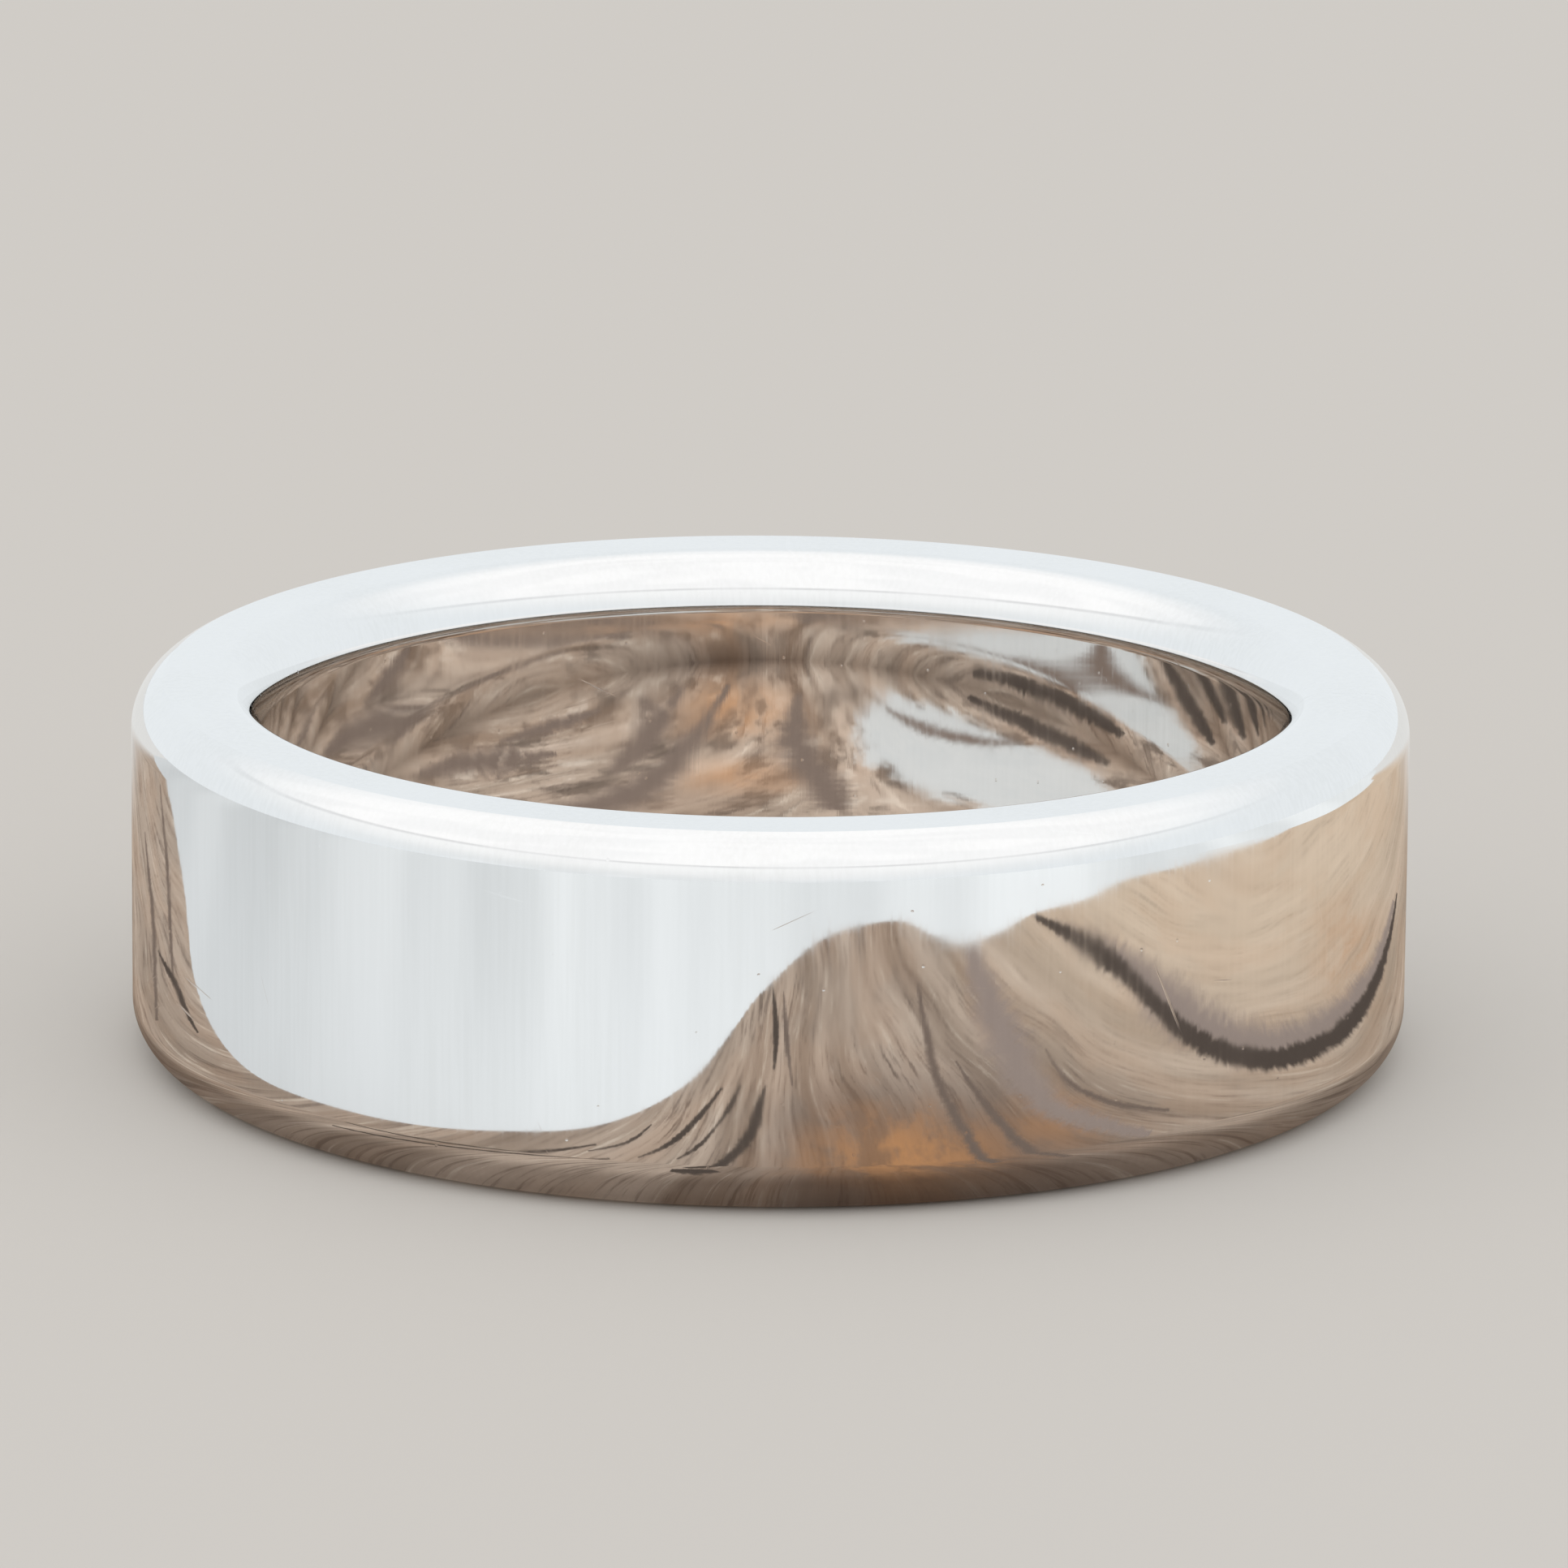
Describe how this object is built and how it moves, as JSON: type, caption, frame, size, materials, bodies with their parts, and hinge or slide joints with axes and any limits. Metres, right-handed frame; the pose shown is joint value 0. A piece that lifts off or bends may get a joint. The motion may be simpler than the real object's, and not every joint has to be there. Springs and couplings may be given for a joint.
{
  "type": "wedding band",
  "caption": "Plain one-piece finger ring: flat polished outer wall, softly rounded shoulders, narrow flat edges and a comfort-fit finger hole.",
  "frame": {"origin": "centre of the lower edge plane, on the axis of the finger hole", "axes": "+Z along the axis of the finger hole, up from the edge that the band lies on; X and Y are free, because the band is the same all the way round"},
  "size_m": [0.024, 0.024, 0.007],
  "materials": {
    "polished_white_metal": "mirror polish with faint axial buffing lines and a few hairline scratches"
  },
  "bodies": {
    "root": {"band": "polished_white_metal"}
  },
  "joints": []
}
